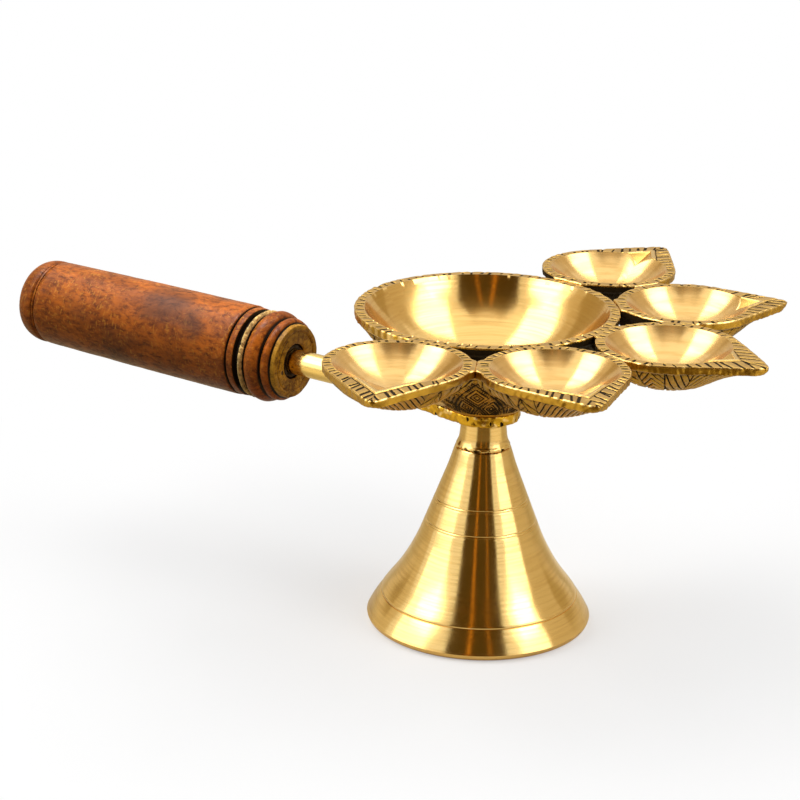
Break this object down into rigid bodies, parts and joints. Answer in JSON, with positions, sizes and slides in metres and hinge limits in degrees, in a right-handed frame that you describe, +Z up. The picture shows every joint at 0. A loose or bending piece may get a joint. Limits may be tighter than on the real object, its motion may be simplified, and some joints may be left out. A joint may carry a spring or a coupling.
{
  "type": "aarti lamp",
  "caption": "Brass aarti lamp: a camphor bowl ringed on one side by leaf-shaped wick cups, on a bell-shaped stand it screws to, with a turned wooden handle on a rod.",
  "frame": {"origin": "centre of the stand's foot ring, on the surface that the lamp stands on", "axes": "+Z up the stand's axis, +X towards the middle leaf cup, so the handle lies along -X"},
  "size_m": [0.2877, 0.1954, 0.1057],
  "materials": {
    "polished_brass": "turned and polished",
    "cast_brass": "cast, engraved and darkened in the cuts",
    "wood": "turned, stained and oiled",
    "lac": "set lac"
  },
  "bodies": {
    "stand": {"stand_cone": "polished_brass", "stand_neck": "polished_brass", "clamp_stud": "polished_brass"},
    "handle": {"handle_strap": "cast_brass", "handle_rod": "polished_brass", "wooden_grip": "wood", "lac_bedding": "lac"},
    "head": {"camphor_bowl": "cast_brass", "leaf_cup_1": "cast_brass", "leaf_cup_2": "cast_brass", "leaf_cup_3": "cast_brass", "leaf_cup_4": "cast_brass", "leaf_cup_5": "cast_brass"}
  },
  "joints": [
    {"name": "lamp_unscrew", "type": "hinge", "parent": "stand", "child": "handle", "pos_m": [0, 0, 0.0728], "axis": [0, 0, 1], "range_deg": [0, 1440]},
    {"name": "lamp_rise", "type": "slide", "parent": "handle", "child": "head", "axis": [0, 0, 1], "range_m": [0, 0.006]}
  ],
  "couplings": [
    {"joint": "lamp_rise", "follows": "lamp_unscrew", "m_per_rad": 0.0002387}
  ]
}
